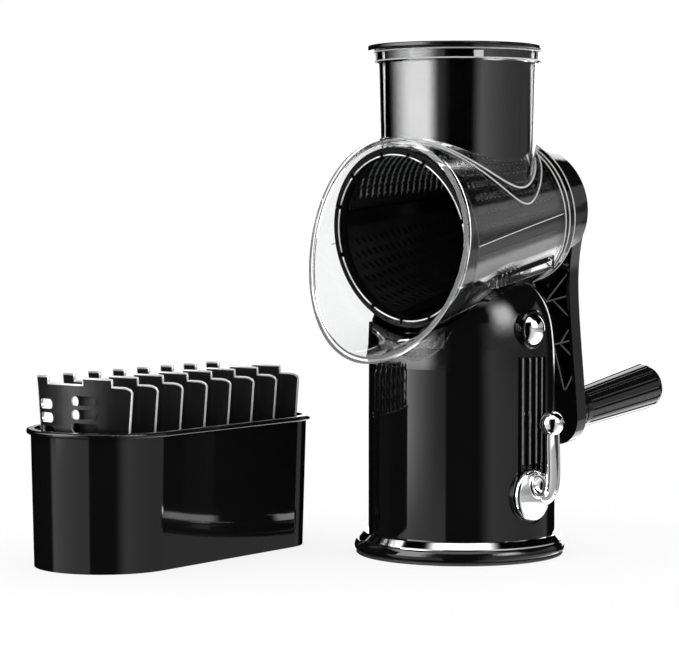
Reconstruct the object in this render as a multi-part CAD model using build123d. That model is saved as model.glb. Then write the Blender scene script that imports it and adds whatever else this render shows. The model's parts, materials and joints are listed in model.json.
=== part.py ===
from build123d import *
import os
from math import asin, atan2, cos, degrees, radians, sin, sqrt, tan

os.makedirs("parts", exist_ok=True)

# Rotary drum shredder on a suction pedestal, with a storage box of eight curved plates.
# Millimetres, +Z up, origin at the middle of the pedestal's underside.
# The drum's mouth faces -Y and dips by drum_tilt, the crank is at +Y, the lever is at +X.
# drum_frame: local +Z runs backwards along the drum axis, local -Y is up, local +X is +X.

# ---- driving sizes
gap = 0.3               # clearance between pieces that belong to different bodies
run_fit = 0.06          # radial running clearance of a shaft in its bearing
base_r = 60.0           # outer radius of the base flange
ledge_z = 8.2           # top of the base flange, where the trim and the pedestal stand
pedestal_r = 53.4       # radius of the pedestal's straight part
pedestal_y = 1.8        # the pedestal stands this far behind the base's centre
pedestal_t = 2.6        # wall of the pedestal
lever_z = 37.0          # height of the lever's axis
button_z = 130.0        # height of the release button's axis
axis_z = 188.3          # height of the drum axis above the origin
drum_tilt = 8.5         # degrees by which the drum's mouth dips
mouth_u = -51.3         # where the drum's front ring ends, along the drum axis
tail_u = 50.0           # where the clear barrel's wall ends at the back
barrel_r0 = 55.8        # outer radius of the clear barrel at mouth_u
barrel_slope = 0.137    # narrowing of the barrel towards the back
flare_slope = 0.178     # widening of the splash guard in front of mouth_u
barrel_t = 2.4          # wall of the clear barrel
hopper_y = -2.0         # the hopper's axis in Y
hopper_r = 44.2         # outer radius of the hopper at z 240
hopper_t = 2.2          # wall of the hopper
hopper_top = 286.4      # top of the hopper's collar
crank_len = 127.0       # crank radius, drum axis to grip axis
box_at = (-110.0, -172.0)
box_turn = 6.6          # degrees the box is turned about Z
box_h = 76.5
box_r = 40.3            # radius of the box's round end at its foot
box_len = 143.0         # from the round end's centre to the flat end
box_corner = 26.0       # corner radius at the flat end
plate_pitch = 21.0      # spacing of the stored plates
plate_t = 1.3           # thickness of a plate

drum_frame = Location((0, 0, axis_z), (drum_tilt - 90, 0, 0))
box_frame = Location((box_at[0], box_at[1], 0), (0, 0, box_turn))


def save(name, shape):
    export_step(shape, "parts/" + name + ".step")


def turned(points):
    """Solid of revolution about Z from a closed (radius, z) outline."""
    outline = Polyline(*[(r, 0, z) for r, z in points], close=True)
    return revolve(make_face(outline), Axis.Z, 360)


def rod(radius, z0, z1):
    """Cylinder on Z from z0 to z1."""
    return Pos(0, 0, (z0 + z1) / 2) * Cylinder(radius, abs(z1 - z0))


def tube(r_in, r_out, z0, z1):
    return turned([(r_in, z0), (r_out, z0), (r_out, z1), (r_in, z1)])


def block(x0, x1, y0, y1, z0, z1):
    return Pos((x0 + x1) / 2, (y0 + y1) / 2, (z0 + z1) / 2) * Box(x1 - x0, y1 - y0, z1 - z0)


def along_x(shape, y, z):
    """Move a shape built on Z so that its axis is parallel to +X through (y, z)."""
    return Pos(0, y, z) * Rot(0, 90, 0) * shape


def barrel_r(u):
    """Outer radius of the clear barrel at u on the drum axis."""
    slope = flare_slope if u < mouth_u else barrel_slope
    return barrel_r0 + (mouth_u - u) * slope


def barrel_body(grow, u0, u1):
    """Solid cone of the barrel, offset outwards by grow, from u0 to u1 (drum frame)."""
    points = [(0, u0), (barrel_r(u0) + grow, u0)]
    if u0 < mouth_u < u1:
        points.append((barrel_r0 + grow, mouth_u))
    points += [(barrel_r(u1) + grow, u1), (0, u1)]
    return turned(points)


# ---- base: suction cup rim, gloss flange, chrome trim
rim_in = 44.3
cup_rim = turned([(rim_in, 0.8), (52, 0.8), (53.5, 0), (58.6, 0), (59.3, 0.6), (58.9, 1.6),
                  (57.0, 3.0), (rim_in, 3.0)])
save("suction_cup_rim", cup_rim)

flange_in = 45.0
flange_line = Spline((58.9, 0, 2.0), (60.05, 0, 3.4), (base_r + 0.2, 0, 5.0), (59.8, 0, 6.6),
                     (58.7, 0, ledge_z))
flange_rest = Polyline((58.7, 0, ledge_z), (flange_in, 0, ledge_z), (flange_in, 0, 3.0),
                       (57.0, 0, 3.0), (58.9, 0, 2.0))
base_flange = revolve(make_face([flange_line, flange_rest]), Axis.Z, 360)
save("base_flange", base_flange)

trim_y = 1.0
trim_ring = Pos(0, trim_y, 0) * turned([(50, ledge_z), (58.3, ledge_z), (58.3, ledge_z + 0.7),
                                        (55.6, ledge_z + 3.9), (55.1, ledge_z + 4.2),
                                        (50, ledge_z + 4.2)])
trim_ring -= Pos(0, pedestal_y, 0) * rod(pedestal_r + 0.05, 0, 20)
save("trim_ring", trim_ring)

# ---- pedestal: a column with a domed top, hollow, cut by the barrel to make the cradle
def dome(shrink, z0):
    """Column with its dome, offset inwards by shrink, from z0 up (about the pedestal axis)."""
    side = Line((pedestal_r - shrink, 0, z0), (pedestal_r - shrink, 0, 108))
    cap = Spline((pedestal_r - shrink, 0, 108), (52.4 - shrink, 0, 126 - 0.2 * shrink),
                 (49.2 - shrink, 0, 141 - 0.5 * shrink), (44.6 - 0.8 * shrink, 0, 150 - 0.8 * shrink),
                 (38.5 - 0.5 * shrink, 0, 157 - shrink), (20, 0, 166 - shrink),
                 (0, 0, 169 - shrink), tangents=((0, 0, 1), (-1, 0, 0)))
    close = Polyline((0, 0, 169 - shrink), (0, 0, z0), (pedestal_r - shrink, 0, z0))
    return Pos(0, pedestal_y, 0) * revolve(make_face([side, cap, close]), Axis.Z, 360)


cradle = drum_frame * barrel_body(gap, -95, tail_u + 8)
cradle_in = drum_frame * barrel_body(gap + pedestal_t, -95, tail_u + 8)
dome_full = dome(0, ledge_z)
pedestal = (dome_full - cradle) - (dome(pedestal_t, ledge_z - 1) - cradle_in)

# lever seat: a flat boss with a recess, and the boss of the button
seat_x = 52.4
seat_r = 16.4
pedestal += along_x(rod(seat_r, 44, seat_x), 0, lever_z)
pedestal -= along_x(rod(seat_r, seat_x, 60), 0, lever_z)
button_face = 53.2
button_boss_r = 11.4
pedestal += along_x(rod(button_boss_r, 45, button_face), 0, button_z)
pedestal -= along_x(rod(button_boss_r, button_face, 60), 0, button_z)
button_hole_r = 9.6
pedestal -= along_x(rod(button_hole_r, 40, 60), 0, button_z)
bush_r = 6.5
pedestal -= along_x(rod(bush_r, 40, 60), 0, lever_z)

# ribbed panel: five upright grooves between the lever and the button
groove_w = 3.5
groove_step = 5.9
for k in range(-2, 3):
    groove = block(pedestal_r - 1.6, pedestal_r + 3, -groove_w / 2, groove_w / 2, 44, 113)
    groove += Pos(0, 0, 113) * Rot(0, 90, 0) * rod(groove_w / 2, pedestal_r - 1.6, pedestal_r + 3)
    pedestal -= Pos(0, pedestal_y, 0) * Rot(0, 0, k * groove_step - 1) * groove

# sockets for the housing's two posts
post_x0 = 25.0
post_x1 = 35.3
post_w = 14.0
for side in (-1, 1):
    x0 = min(side * (post_x0 - 0.6), side * (post_x1 + 0.6))
    x1 = max(side * (post_x0 - 0.6), side * (post_x1 + 0.6))
    pedestal -= block(x0, x1, -post_w / 2 - 0.6, post_w / 2 + 0.6, 120, 165)

# screw posts inside the column, down to the base plate
screw_r = 38.0
for k in range(4):
    a = radians(45 + 90 * k)
    post = Pos(screw_r * cos(a), pedestal_y + screw_r * sin(a), 0) * rod(4.5, ledge_z + 3.3, 40)
    web_dir = 45 + 90 * k
    web = Pos(0, pedestal_y, 0) * Rot(0, 0, web_dir) * block(screw_r + 3, pedestal_r - 1, -1.2, 1.2,
                                                            ledge_z + 3.3, 40)
    pedestal += post + web
    pedestal -= Pos(screw_r * cos(a), pedestal_y + screw_r * sin(a), 0) * rod(1.8, ledge_z, 28)
save("pedestal", pedestal)

# ---- base plate with the raised guide for the pull rod
hat_r = 21.0
hat_z = 21.0
stem_r = 4.0
plate_r = pedestal_r - pedestal_t - 0.25
base_plate = Pos(0, pedestal_y, 0) * rod(plate_r, ledge_z, ledge_z + 3.3)
base_plate += rod(hat_r, ledge_z, hat_z)
base_plate -= rod(hat_r - 3, ledge_z - 1, hat_z - 3)
base_plate += rod(8, hat_z - 1, hat_z + 2.5)
base_plate -= rod(stem_r + run_fit, 0, 40)
for k in range(4):
    a = radians(45 + 90 * k)
    base_plate -= Pos(screw_r * cos(a), pedestal_y + screw_r * sin(a), 0) * rod(2.0, 0, 20)
save("base_plate", base_plate)

screws = None
for k in range(4):
    a = radians(45 + 90 * k)
    one = rod(3.6, 5.6, ledge_z) + rod(1.75, ledge_z, 25)
    one -= block(-2.4, 2.4, -0.4, 0.4, 5, 6.4)
    one -= block(-0.4, 0.4, -2.4, 2.4, 5, 6.4)
    one = Pos(screw_r * cos(a), pedestal_y + screw_r * sin(a), 0) * one
    screws = one if screws is None else screws + one
save("base_screws", screws)

# ---- suction lifter: boss, membrane, rod with its yoke, return spring
boss_r = 16.0
suction_boss = turned([(0, 1.6), (boss_r, 2.4), (boss_r, 4.4), (9, 5.0), (0, 5.0)])
save("suction_boss", suction_boss)
membrane = turned([(boss_r, 3.0), (boss_r, 4.2), (rim_in - gap, 2.2), (rim_in - gap, 1.0)])
save("suction_membrane", membrane)

cam_throw = 2.12        # eccentricity; the pin rises sqrt(2) times this over a quarter turn
cam_pin_r = 3.0
pin_rest = cam_throw * sin(radians(45))
yoke_play = 0.12
yoke_z0 = 27.0
yoke = block(-5, 5, -9, 9, yoke_z0, 45)
slot_z = lever_z - pin_rest
yoke -= block(-8, 8, -6.2, 6.2, slot_z - cam_pin_r - yoke_play, slot_z + cam_pin_r + yoke_play)
pull_rod = rod(7, 5.0, 7.2) + rod(stem_r, 7, yoke_z0 + 1) + yoke
save("pull_rod", pull_rod)

coil_r = 10.5
wire_r = 0.75
coil_z0 = 5.0 + wire_r + 0.02
coil_z1 = hat_z - 3 - gap - wire_r
coil_path = Pos(0, 0, coil_z0) * Helix(pitch=(coil_z1 - coil_z0) / 4, height=coil_z1 - coil_z0,
                                      radius=coil_r)
coil_start = Plane(origin=coil_path @ 0, z_dir=coil_path % 0)
return_spring = sweep(coil_start * Circle(wire_r), path=coil_path, is_frenet=True)
save("return_spring", return_spring)

# ---- lever: disc with finger cup and upright arm, ball, shaft, eccentric
disc_r = 14.7
disc_x0 = seat_x + gap
disc_x1 = 57.4
disc = rod(disc_r, disc_x0, disc_x1)
disc = fillet(disc.edges().filter_by(GeomType.CIRCLE).sort_by(Axis.Z)[-1], 2.6)
disc = along_x(disc, 0, lever_z)
cup_y = 0.5
cup_z = lever_z + 5.5
disc += along_x(rod(6.8, disc_x1 - 1, disc_x1 + 0.9), cup_y, cup_z)
disc -= along_x(rod(5.3, disc_x1 - 2.2, disc_x1 + 3), cup_y, cup_z)
arm_line = Polyline((9.0, lever_z + 2), (15.9, lever_z + 4), (15.3, 52), (14.0, 72), (5.8, 72),
                    (7.6, 50), close=True)
arm = Pos(disc_x1 - 0.8, 0, 0) * extrude(Plane.YZ * make_face(arm_line), 4.8)
arm = fillet(arm.edges().filter_by(Axis.X), 1.2)
arm += along_x(rod(6.0, disc_x0 + 1.2, disc_x1 + 2.2), 9.0, lever_z + 3.5)
arm += Pos(0, 9.4, 0) * block(disc_x1 - 0.2, disc_x1 + 3.4, -2.4, 2.4, 66, 75)
ball_r = 6.9
ball_at = (disc_x1 + 3.2, 8.4, lever_z + 40.2)
lever = disc + arm
lever -= Pos(*ball_at) * Sphere(ball_r)
shaft_r = 4.0
lever -= along_x(rod(shaft_r, disc_x0 - 1, disc_x0 + 2.2), 0, lever_z)
save("suction_lever", lever)
ball = Pos(*ball_at) * Sphere(ball_r)
save("lever_ball", ball)

cam_x0 = 6.2
cam_x1 = 10.4
lever_shaft = along_x(rod(shaft_r, cam_x1, disc_x0 + 2.2), 0, lever_z)
save("lever_shaft", lever_shaft)
cam = along_x(rod(7.5, cam_x0, cam_x1), 0, lever_z)
cam += along_x(rod(cam_pin_r, -5.6, cam_x0 + 0.5), pin_rest, lever_z - pin_rest)
save("lift_cam", cam)

lever_bush = along_x(tube(shaft_r + run_fit, bush_r, 42.5, seat_x), 0, lever_z)
lever_bush += along_x(tube(bush_r, bush_r + 2.5, 42.5, 44), 0, lever_z)
save("lever_bush", lever_bush)

cam_bracket = block(12.5, 15.5, -11, 11, hat_z, 46)
cam_bracket += block(10.0, 18.0, -11, 11, hat_z, hat_z + 2)
cam_bracket -= along_x(rod(shaft_r + run_fit, 5, 25), 0, lever_z)
cam_bracket = fillet(cam_bracket.edges().filter_by(Axis.X).sort_by(Axis.Z)[-2:], 8)
save("cam_bracket", cam_bracket)

# ---- release button: chrome bezel, domed button with its stem
bezel_in = 8.9
lock_bezel = along_x(tube(bezel_in, button_hole_r, 44.5, button_face), 0, button_z)
bezel_ring = turned([(bezel_in, button_face), (11.0, button_face), (11.0, button_face + 0.7),
                     (10.3, button_face + 1.5), (bezel_in, button_face + 1.5)])
lock_bezel += along_x(bezel_ring, 0, button_z)
save("lock_bezel", lock_bezel)

button_r = bezel_in - run_fit
dome_line = [Line((0, 0, 47), (button_r, 0, 47)), Line((button_r, 0, 47), (button_r, 0, 55.2)),
             Spline((button_r, 0, 55.2), (6.6, 0, 57.6), (0, 0, 59.0), tangents=((0, 0, 1), (-1, 0, 0))),
             Line((0, 0, 59.0), (0, 0, 47))]
lock_button = along_x(revolve(make_face(dome_line), Axis.Z, 360), 0, button_z)
save("lock_button", lock_button)
nose_x = 33.3
lock_stem = along_x(rod(3.0, nose_x + 1.0, 47), 0, button_z)
lock_stem += along_x(rod(2.2, nose_x, nose_x + 1.2), 0, button_z)
save("lock_stem", lock_stem)

# ---- clear housing: barrel, splash guard, hopper, skirt, tongue, posts
def rim_u(w):
    """Where the splash guard's edge lies along the drum axis at height w above it."""
    return -62.5 + 0.309 * w - 0.002 * w * w


def ahead_of_rim(shift):
    """Everything in front of the guard's edge moved back by shift (drum frame)."""
    points = [(-w, rim_u(w) + shift) for w in range(-84, 85, 7)]
    curve = Spline(*points)
    rest = Polyline(points[-1], (-84, -160), (84, -160), points[0])
    face = make_face([curve, rest])
    return extrude(Plane.YZ * face, 90, both=True)


def hopper_radius(z):
    return hopper_r + 0.025 * (z - 240)


collar_z = 280.4
barrel = barrel_body(0, -110, tail_u)
bead = barrel_body(0.9, -110, -40)
bead_zone = ahead_of_rim(2.6)
barrel += bead & bead_zone
barrel += rod(barrel_r(tail_u) + 0.5, 47.6, 52.4)
inner = barrel_body(-barrel_t, -111, 48.0)
tower = turned([(0, 196), (hopper_radius(196), 196), (hopper_radius(collar_z - 1), collar_z - 1),
                (47.2, collar_z + 0.4), (47.5, hopper_top), (0, hopper_top)])
tower_in = turned([(0, 190), (hopper_radius(190) - hopper_t, 190),
                   (hopper_radius(collar_z) - hopper_t, collar_z),
                   (hopper_radius(hopper_top) - hopper_t + 0.4, hopper_top + 1), (0, hopper_top + 1)])
housing = drum_frame * barrel + Pos(0, hopper_y, 0) * tower

# skirt: short walls and fins that hang from the barrel's flanks over the pedestal's dome
skirt_w = 23.0
skirt_t = 2.2
skirt_deep = 8.0
def skirt_block(shrink):
    u0 = -44 + shrink
    u1 = 40 - shrink
    x0 = sqrt(barrel_r(u0) ** 2 - skirt_w ** 2) - shrink
    x1 = sqrt(barrel_r(u1) ** 2 - skirt_w ** 2) - shrink
    face = make_face(Polyline((-x0, u0), (x0, u0), (x1, u1), (-x1, u1), close=True))
    return extrude(Plane.XZ.offset(-skirt_w) * face, -40)


skirt_r = pedestal_r - 0.4
skirt = drum_frame * skirt_block(0) & Pos(0, pedestal_y, 0) * rod(skirt_r, 100, 200)
skirt -= drum_frame * skirt_block(skirt_t) & Pos(0, pedestal_y, 0) * rod(skirt_r - skirt_t, 90, 210)
fins = None
for side in (-1, 1):
    for k in range(7):
        u = -33 + 4.6 * k
        x = side * sqrt(barrel_r(u) ** 2 - skirt_w ** 2)
        fin = drum_frame * block(x - 1.1, x + 1.1, skirt_w + 0.4, skirt_w + 30, u - 0.6, u + 0.6)
        fins = fin if fins is None else fins + fin
skirt += fins & Pos(0, pedestal_y, 0) * rod(skirt_r + 0.8, 100, 200)
skirt &= drum_frame * block(-80, 80, 0, skirt_w + skirt_deep, -60, 60)
skirt -= dome(-gap, 40)
housing += skirt

# tongue: a curved clear plate over the front of the pedestal
tongue_in = pedestal_r + gap
tongue_out = tongue_in + 2.1
tongue_half = 30.6
tongue = tube(tongue_in, tongue_out, 120, 146)
wedge_face = make_face(Polyline((0, 0), (80 * sin(radians(tongue_half)), -80 * cos(radians(tongue_half))),
                                (-80 * sin(radians(tongue_half)), -80 * cos(radians(tongue_half))),
                                close=True))
tongue &= extrude(Pos(0, 0, 100) * wedge_face, 80)
housing += Pos(0, pedestal_y, 0) * tongue

# posts that drop into the pedestal; the right one has the groove for the button's nose
for side in (-1, 1):
    x0 = min(side * post_x0, side * post_x1)
    x1 = max(side * post_x0, side * post_x1)
    housing += block(x0, x1, -post_w / 2, post_w / 2, 116, 156)
housing -= block(29.5, post_x1 + 1, -3.6, 3.6, 110, 134.5)

housing -= drum_frame * inner
housing -= Pos(0, hopper_y, 0) * tower_in
housing -= drum_frame * ahead_of_rim(0)
bearing_r = 13.0
housing -= drum_frame * rod(bearing_r, 40, 60)
tab_dir = 54.0
collar_tab = Pos(0, hopper_y, 0) * Rot(0, 0, tab_dir - 90) * block(46.6, 48.7, -2.6, 2.6, 280.6, 284.8)
housing += collar_tab
save("housing", housing)

rear_bearing = tube(8.0 + run_fit, bearing_r, 45.2, 56.0)
rear_bearing += tube(bearing_r, 18.0, 52.4, 54.0)
save("rear_bearing", drum_frame * rear_bearing)

# ---- pusher: hollow body with an arched foot, and its flange
push_r = hopper_radius(216) - hopper_t - gap
pusher = Pos(0, hopper_y, 0) * turned([(0, 214), (push_r, 214), (push_r + 0.6, 286.7), (0, 286.7)])
pusher -= Pos(0, hopper_y, 0) * rod(push_r - 2.2, 247, 284.2)
pusher -= drum_frame * rod(54.5, -70, 60)
save("pusher_body", pusher)
lid_y = hopper_y - 3.1
lid = rod(49.3, 286.7, 289.6)
lid = fillet(lid.edges().filter_by(GeomType.CIRCLE), 0.9)
grip_dish = rod(30, 288.4, 291)
lid = Pos(0, lid_y, 0) * (lid - grip_dish)
save("pusher_flange", lid)

# ---- drum: frame with front ring and four bars, drive hub
drum_r0 = 50.0          # outer radius of the plates at the front ring
drum_u0 = -47.0
drum_u1 = 44.4
drum_r1 = 38.4
drum_slope = (drum_r0 - drum_r1) / (drum_u1 - drum_u0)


def drum_r(u):
    return drum_r0 - (u - drum_u0) * drum_slope


def drum_shell(out, thick, u0, u1):
    return turned([(drum_r(u0) + out - thick, u0), (drum_r(u0) + out, u0), (drum_r(u1) + out, u1),
                   (drum_r(u1) + out - thick, u1)])


ring = turned([(47.2, mouth_u), (50.6, mouth_u), (51.1, mouth_u + 0.5), (51.1, drum_u0),
               (49.2, drum_u0 + 2.0), (46.4, drum_u0 + 2.0), (46.0, drum_u0)])
frame_back = turned([(0, 40.4), (drum_r(40.4) + 0.1, 40.4), (drum_r(drum_u1), drum_u1), (0, drum_u1)])
frame = ring + frame_back
seam_at = 12.0          # angle of the first bar from straight up towards +X
bar_half = 4.2
bar_t = 2.6
bars = drum_shell(-plate_t, bar_t, drum_u0 + 1, 41)
keep = None
for k in range(4):
    a = seam_at + 90 * k
    piece = Rot(0, 0, a) * block(-bar_half, bar_half, -60, 0, -60, 60)
    keep = piece if keep is None else keep + piece
bars &= keep
frame += bars
hub_r = 12.0
frame += rod(hub_r, 26, 41)
for k in range(4):
    frame += Rot(0, 0, seam_at + 90 * k) * block(-1.3, 1.3, -37, -6, 36, 41)
hex_af = 12.4
socket = extrude(Pos(0, 0, 24) * RegularPolygon(hex_af / 2, 6, major_radius=False), 30)
frame -= socket
# notches round the inner edge of the ring
for a in (-42, -10, 13.6, 28, 78, 112, 161, 187, 214, 258, 292):
    frame -= Rot(0, 0, a) * block(-0.9, 0.9, -49.2, -44, mouth_u - 1, mouth_u + 2.4)
for k in range(4):
    frame -= Rot(0, 0, seam_at + 90 * k + 8) * block(-0.35, 0.35, -52, -44, mouth_u - 1, mouth_u + 1.2)
# back disc relief holes
for k in range(4):
    frame -= Rot(0, 0, seam_at + 45 + 90 * k) * Pos(0, -25, 0) * rod(7.5, 38, 46)
save("drum_frame", drum_frame * frame)


def sector(half_gap):
    """Quarter wedge about local -Y that stops half_gap millimetres short of each side plane."""
    r = 80
    corner = half_gap / sin(radians(45))
    p0 = (0, -corner)
    p1 = (r, -corner - r)
    p2 = (-r, -corner - r)
    return extrude(Pos(0, 0, -70) * make_face(Polyline(p0, p1, p2, close=True)), 140)


# one grating plate: rows of slanted slots with a raised lip on each
plate_u0 = drum_u0 + 2.2
plate_gap = 0.15        # half the seam between two plates, over the middle of a bar
plate_u1 = 40.2
plate = drum_shell(0, plate_t, plate_u0, plate_u1) & sector(plate_gap)
slot_slant = 122.0      # degrees a slot is turned from the drum axis
slot_len = 4.6
cutters = []
lips = []
for row in range(-3, 4):
    for k in range(17):
        u = plate_u0 + 6.5 + 4.5 * k + (2.2 if row % 2 else 0)
        if u > plate_u1 - 4:
            continue
        at_slot = Rot(0, 0, row * 9.2) * Pos(0, -drum_r(u), u) * Rot(0, slot_slant, 0)
        cutters.append(at_slot * Box(1.5, 6, slot_len))
        lips.append(at_slot * Pos(1.1, -0.15, 0) * Rot(0, 0, 35) * Box(1.5, 0.5, slot_len - 0.6))
plate -= cutters
plate += lips
for k in range(4):
    save("drum_plate_%d" % (k + 1), drum_frame * (Rot(0, 0, seam_at + 45 + 90 * k) * plate))

# ---- crank: shaft with its hexagon, arm, hub cap, grip axle, grip
crank_shaft = rod(8.0, drum_u1 + 0.5, 70.0)
crank_shaft += extrude(Pos(0, 0, 28) * RegularPolygon(6.0, 6, major_radius=False), drum_u1 + 1 - 28)
save("crank_shaft", drum_frame * crank_shaft)

arm_u0 = 69.5
arm_u1 = 78.0
half = [(31.0, 9.0), (25.6, 22), (21.0, 42), (19.2, 63), (18.3, 99), (17.3, crank_len)]
side_r = Spline(*half)
side_l = Spline(*[(-x, y) for x, y in half])
low = ThreePointArc((17.3, crank_len), (0, crank_len + 17.3), (-17.3, crank_len))
top = Line((-31.0, 9.0), (31.0, 9.0))
arm_face = make_face([side_r, low, side_l, top])
crank = Pos(0, 0, arm_u0) * extrude(arm_face, arm_u1 - arm_u0)
head = turned([(0, 57.0), (35.4, 57.0), (36.6, 58.0), (34.6, 70.0), (33.4, 76.5), (31.8, arm_u1),
               (0, arm_u1)])
crank += head
pocket_half = [(21.4, 34), (18.8, 42), (16.9, 63), (16.0, 99), (15.8, 111)]
pocket_face = make_face([Spline(*pocket_half), Line((15.8, 111), (-15.8, 111)),
                         Spline(*[(-x, y) for x, y in pocket_half]), Line((-21.4, 34), (21.4, 34))])
pocket = Pos(0, 0, arm_u0 - 1) * extrude(pocket_face, 6.6)
pocket -= rod(36.6 + 0.2, 50, 80)
crank -= pocket
# truss ribs standing in the pocket: (x, y) end points
ribs = [(-18, 62.5, 18, 53.4), (-18, 88.5, 18, 80.2), (18.6, 40.5, 2.5, 56), (-17.5, 40, 1.5, 57),
        (7, 57, 17, 66), (17, 73, 9, 82.5), (-16.5, 66, -6, 85), (0, 59, -14, 88), (9, 83, 17, 90),
        (4, 84, 9, 112), (17, 100, 9, 112), (-16, 92, -9, 112), (-16, 92, 3, 85), (-10, 90, 2, 112)]
rib_solids = None
for x0, y0, x1, y1 in ribs:
    length = sqrt((x1 - x0) ** 2 + (y1 - y0) ** 2)
    turn = degrees(atan2(y1 - y0, x1 - x0))
    rib = Pos((x0 + x1) / 2, (y0 + y1) / 2, arm_u0 + 3.4) * Rot(0, 0, turn) * Box(length, 1.5, 5.6)
    rib_solids = rib if rib_solids is None else rib_solids + rib
rib_solids &= Pos(0, 0, arm_u0 - 1) * extrude(pocket_face, 8)
crank += rib_solids
crank -= rod(8.0, 50, 70.0)
crank += Pos(0, crank_len, 0) * rod(11.4, arm_u1 - 1, 88.0)
axle_r = 3.0
crank -= Pos(0, crank_len, 0) * rod(axle_r, 60, 100)
save("crank_arm", drum_frame * crank)

hub_cap = turned([(0, arm_u1), (30.9, arm_u1), (30.9, arm_u1 + 1.2), (29.6, arm_u1 + 2.2), (0, arm_u1 + 2.6)])
save("hub_cap", drum_frame * hub_cap)

grip_u0 = 88.0 + gap
grip_u1 = 158.0
axle_head = 152.0
grip_axle = rod(axle_r, arm_u0 + 0.2, axle_head) + rod(5.2, axle_head, axle_head + 2.4)
grip_axle = Pos(0, crank_len, 0) * grip_axle
save("grip_axle", drum_frame * grip_axle)

grip_line = [Line((0, 0, grip_u0), (11.0, 0, grip_u0)), Line((11.0, 0, grip_u0), (11.5, 0, grip_u0 + 0.6)),
             Line((11.5, 0, grip_u0 + 0.6), (14.0, 0, grip_u1)),
             Spline((14.0, 0, grip_u1), (12.6, 0, grip_u1 + 4.4), (9.0, 0, grip_u1 + 6.8)),
             Line((9.0, 0, grip_u1 + 6.8), (0, 0, grip_u1 + 6.8)),
             Line((0, 0, grip_u1 + 6.8), (0, 0, grip_u0))]
grip = revolve(make_face(grip_line), Axis.Z, 360)
flutes = []
lean = degrees(atan2(2.5, grip_u1 - grip_u0))
for k in range(16):
    flute = Pos(0, 0, 126) * Rot(lean, 0, 0) * Cylinder(1.25, 66)
    flutes.append(Rot(0, 0, 22.5 * k) * Pos(0, -13.4, 0) * flute)
grip -= flutes
grip -= rod(axle_r + run_fit, 80, axle_head)
grip -= rod(5.6, axle_head - gap, 170)
grip -= rod(8.0, 161.0, 170)
save("grip", drum_frame * (Pos(0, crank_len, 0) * grip))
grip_plug = turned([(0, 161.0), (7.95, 161.0), (7.95, grip_u1 + 6.9), (6.0, grip_u1 + 7.9),
                    (0, grip_u1 + 8.4)])
save("grip_plug", drum_frame * (Pos(0, crank_len, 0) * grip_plug))

# ---- storage box: tapered, one round end, with a rim bead
def box_face(r, length, corner):
    outline = make_face([ThreePointArc((-r, 0), (0, -r), (r, 0)), Line((r, 0), (r, length)),
                         Line((r, length), (-r, length)), Line((-r, length), (-r, 0))])
    far = outline.vertices().sort_by(Axis.Y)[-2:]
    return fillet(far, corner)


box_top_r = box_r + 1.6
box_t = 2.0
body = loft([box_face(box_r, box_len, box_corner),
             Pos(0, 0, box_h) * box_face(box_top_r, box_len + 1.6, box_corner)])
hollow = loft([Pos(0, 0, box_t) * box_face(box_r - box_t, box_len - box_t, box_corner - box_t),
               Pos(0, 0, box_h + 0.01) * box_face(box_top_r - box_t, box_len + 1.6 - box_t,
                                                    box_corner - box_t)])
bead_ring = extrude(Pos(0, 0, box_h - 3.0) * box_face(box_top_r + 2.3, box_len + 3.9, box_corner + 2.3), 3.0)
bead_ring = fillet(bead_ring.edges().filter_by(Plane.XY), 1.2)
box = body + bead_ring - hollow
save("blade_box", box_frame * box)

# rack on the floor of the box: a deck with a curved slot under each plate
store_r0 = drum_r(plate_u0)       # outer radius of a stored plate at its wide, upper end
store_r1 = drum_r(plate_u1)
store_len = plate_u1 - plate_u0
store_side = cos(radians(45))     # how far a plate's side edge lies along Y, as a share of its radius
slot_floor = 18.7
slot_deep = 2.9
deck_t = 2.0
rack_top = slot_floor + slot_deep
first_y = -18.0                   # where the side edges of the first plate stand along the box


def rack_face(wall):
    """Outline of the rack, wall millimetres inside its own rim."""
    inset = box_t + 0.9 + wall
    return box_face(box_r - inset, box_len - inset, box_corner - inset)


def side_wedge(spread, z0, height):
    """Wedge about -Y that reaches 45 degrees to each side, opened by spread millimetres."""
    outline = Polyline((0, spread), (80, spread - 80), (-80, spread - 80), close=True)
    return extrude(Pos(0, 0, z0) * make_face(outline), height)


rack = extrude(Pos(0, 0, box_t) * rack_face(0), rack_top - box_t)
rack -= extrude(Pos(0, 0, box_t - 1) * rack_face(2.5), slot_floor - deck_t - box_t + 1)
slot_ring = tube(store_r1 - plate_t - 0.5, store_r1 + 0.7, slot_floor, rack_top + 1)
slot_ring &= side_wedge(0.9, 0, 40)
for k in range(8):
    rack -= Pos(0, first_y + plate_pitch * k + store_r1 * store_side, 0) * slot_ring
save("box_rack", box_frame * rack)


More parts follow.
